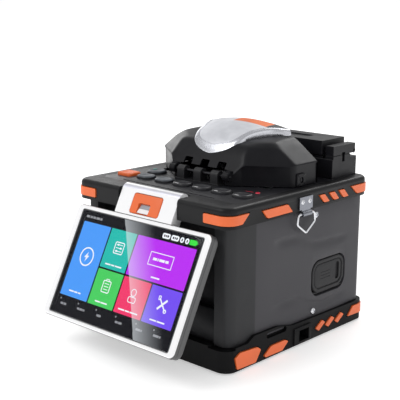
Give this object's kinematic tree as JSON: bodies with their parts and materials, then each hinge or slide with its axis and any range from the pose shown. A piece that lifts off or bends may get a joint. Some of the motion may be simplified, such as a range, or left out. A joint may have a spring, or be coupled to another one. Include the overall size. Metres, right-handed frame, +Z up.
{
  "type": "fiber fusion splicer",
  "caption": "Square field fiber fusion splicer with rubber guards, tilting touch screen, hinged wind hood over clamping stages, tube heater, keys and strap rings.",
  "frame": {"origin": "on the ground, under the middle of the bounding box with the screen tilted out", "axes": "+Z up, -Y towards the operator and the screen, +X to the operator's right, along the fibre"},
  "size_m": [0.1564, 0.2058, 0.1555],
  "materials": {
    "guard_black": "satin moulded guard",
    "foot_rubber": "matt",
    "orange": "satin",
    "housing_black": "fine texture",
    "shell_grey": "soft touch",
    "deck_black": "fine texture",
    "cover_rubber": "matt",
    "bright_steel": "plated",
    "brass": "turned",
    "black_plastic": "satin",
    "port_steel": "plain",
    "battery": "wrapped",
    "board": "solder mask",
    "bed_metal": "anodised",
    "ceramic": "ground",
    "rod_steel": "ground",
    "stage_metal": "satin anodised",
    "hood_black": "satin",
    "hood_silver": "silver lacquer",
    "label_lens": "clear over grey print",
    "heater_black": "satin",
    "lamp_red": "clear",
    "key_grey": "satin",
    "key_black": "satin",
    "white_gloss": "polished",
    "screen_glass": "polished",
    "display": "lit tiles",
    "screen_grey": "fine texture",
    "arm_silver": "silver lacquer"
  },
  "bodies": {
    "chassis": {"bumper_base": "guard_black", "rubber_feet": "foot_rubber", "orange_inserts": "orange", "lower_housing": "housing_black", "side_shell_left": "shell_grey", "side_shell_right": "shell_grey", "rear_panel": "housing_black", "guard_ring": "guard_black", "deck_plate": "deck_black", "strap_plates": "bright_steel", "shell_screws": "bright_steel", "tripod_insert": "brass", "dc_inlet": "black_plastic", "side_ports": "port_steel", "battery_pack": "battery", "main_board": "board", "splice_bed": "bed_metal", "vgroove_block": "ceramic", "guide_rods": "rod_steel", "electrodes": "rod_steel", "electrode_caps": "black_plastic", "objectives": "rod_steel", "hood_bracket": "black_plastic", "hood_pin": "rod_steel", "heater_base": "heater_black", "heater_trough": "stage_metal", "heater_pin": "rod_steel", "status_lamp": "lamp_red", "screen_pin": "rod_steel"},
    "screen": {"screen_bezel": "white_gloss", "touch_glass": "screen_glass", "display_panel": "display", "screen_back": "screen_grey", "hinge_arm": "white_gloss", "arm_trim": "arm_silver"},
    "release": {"release_button": "orange"},
    "hood": {"hood_shell": "hood_black", "hood_plate": "hood_silver", "hood_window": "label_lens"},
    "lid": {"heater_lid": "heater_black"},
    "tube_clamp_left": {"heater_clamp_left": "heater_black"},
    "tube_clamp_right": {"heater_clamp_right": "heater_black"},
    "stage_l": {"stage_left": "stage_metal"},
    "stage_r": {"stage_right": "stage_metal"},
    "sheath_l": {"sheath_clamp_left": "black_plastic"},
    "sheath_r": {"sheath_clamp_right": "black_plastic"},
    "arm_l": {"fibre_arm_left": "stage_metal"},
    "arm_r": {"fibre_arm_right": "stage_metal"},
    "strap_l": {"strap_ring_left": "bright_steel"},
    "strap_r": {"strap_ring_right": "bright_steel"},
    "port_door": {"port_cover": "cover_rubber"},
    "key_power_cap": {"key_power": "orange"},
    "key_1_cap": {"key_1": "key_grey"},
    "key_2_cap": {"key_2": "key_grey"},
    "key_3_cap": {"key_3": "key_black"},
    "key_4_cap": {"key_4": "key_black"},
    "key_5_cap": {"key_5": "key_black"},
    "key_6_cap": {"key_6": "key_black"},
    "key_round_cap": {"key_round": "key_grey"}
  },
  "joints": [
    {"name": "screen_tilt", "type": "hinge", "parent": "chassis", "child": "screen", "pos_m": [0, -0.05268, 0.1115], "axis": [-1, 0, 0], "range_deg": [-7, 123]},
    {"name": "release_press", "type": "slide", "parent": "screen", "child": "release", "axis": [0, 0.8942, -0.4478], "range_m": [0, 0.001], "stiffness_N_per_m": 600, "springref_m": -0.0006},
    {"name": "hood_open", "type": "hinge", "parent": "chassis", "child": "hood", "pos_m": [0, -0.00668, 0.1213], "axis": [1, 0, 0], "range_deg": [0, 100]},
    {"name": "heater_lid_open", "type": "hinge", "parent": "chassis", "child": "lid", "pos_m": [0, 0.09432, 0.133], "axis": [-1, 0, 0], "range_deg": [0, 95]},
    {"name": "heater_clamp_left_open", "type": "hinge", "parent": "chassis", "child": "tube_clamp_left", "pos_m": [-0.061, 0.09432, 0.133], "axis": [-1, 0, 0], "range_deg": [0, 95]},
    {"name": "heater_clamp_right_open", "type": "hinge", "parent": "chassis", "child": "tube_clamp_right", "pos_m": [0.061, 0.09432, 0.133], "axis": [-1, 0, 0], "range_deg": [0, 95]},
    {"name": "stage_left_feed", "type": "slide", "parent": "chassis", "child": "stage_l", "axis": [-1, 0, 0], "range_m": [-0.004, 0.001]},
    {"name": "stage_right_feed", "type": "slide", "parent": "chassis", "child": "stage_r", "axis": [1, 0, 0], "range_m": [-0.004, 0.001]},
    {"name": "sheath_clamp_left_open", "type": "hinge", "parent": "stage_l", "child": "sheath_l", "pos_m": [-0.033, 0.03932, 0.1172], "axis": [-1, 0, 0], "range_deg": [0, 58]},
    {"name": "sheath_clamp_right_open", "type": "hinge", "parent": "stage_r", "child": "sheath_r", "pos_m": [0.033, 0.03932, 0.1172], "axis": [-1, 0, 0], "range_deg": [0, 58]},
    {"name": "fibre_arm_left_open", "type": "hinge", "parent": "chassis", "child": "arm_l", "pos_m": [-0.0056, 0.03882, 0.1166], "axis": [-1, 0, 0], "range_deg": [0, 70]},
    {"name": "fibre_arm_right_open", "type": "hinge", "parent": "chassis", "child": "arm_r", "pos_m": [0.0056, 0.03882, 0.1166], "axis": [-1, 0, 0], "range_deg": [0, 70]},
    {"name": "strap_ring_left_swing", "type": "hinge", "parent": "chassis", "child": "strap_l", "pos_m": [-0.0763, 0.02082, 0.0985], "axis": [0, 1, 0], "range_deg": [-4, 110]},
    {"name": "strap_ring_right_swing", "type": "hinge", "parent": "chassis", "child": "strap_r", "pos_m": [0.0763, 0.02082, 0.0985], "axis": [0, -1, 0], "range_deg": [-4, 110]},
    {"name": "port_cover_open", "type": "hinge", "parent": "chassis", "child": "port_door", "pos_m": [0.071, 0.05557, 0.0337], "axis": [0, 1, 0], "range_deg": [0, 95]},
    {"name": "key_power_press", "type": "slide", "parent": "chassis", "child": "key_power_cap", "axis": [0, 0, -1], "range_m": [0, 0.0012], "stiffness_N_per_m": 600, "springref_m": -0.0006},
    {"name": "key_1_press", "type": "slide", "parent": "chassis", "child": "key_1_cap", "axis": [0, 0, -1], "range_m": [0, 0.0012], "stiffness_N_per_m": 600, "springref_m": -0.0006},
    {"name": "key_2_press", "type": "slide", "parent": "chassis", "child": "key_2_cap", "axis": [0, 0, -1], "range_m": [0, 0.0012], "stiffness_N_per_m": 600, "springref_m": -0.0006},
    {"name": "key_3_press", "type": "slide", "parent": "chassis", "child": "key_3_cap", "axis": [0, 0, -1], "range_m": [0, 0.0012], "stiffness_N_per_m": 600, "springref_m": -0.0006},
    {"name": "key_4_press", "type": "slide", "parent": "chassis", "child": "key_4_cap", "axis": [0, 0, -1], "range_m": [0, 0.0012], "stiffness_N_per_m": 600, "springref_m": -0.0006},
    {"name": "key_5_press", "type": "slide", "parent": "chassis", "child": "key_5_cap", "axis": [0, 0, -1], "range_m": [0, 0.0012], "stiffness_N_per_m": 600, "springref_m": -0.0006},
    {"name": "key_6_press", "type": "slide", "parent": "chassis", "child": "key_6_cap", "axis": [0, 0, -1], "range_m": [0, 0.0012], "stiffness_N_per_m": 600, "springref_m": -0.0006},
    {"name": "key_round_press", "type": "slide", "parent": "chassis", "child": "key_round_cap", "axis": [0, 0, -1], "range_m": [0, 0.0012], "stiffness_N_per_m": 600, "springref_m": -0.0006}
  ]
}
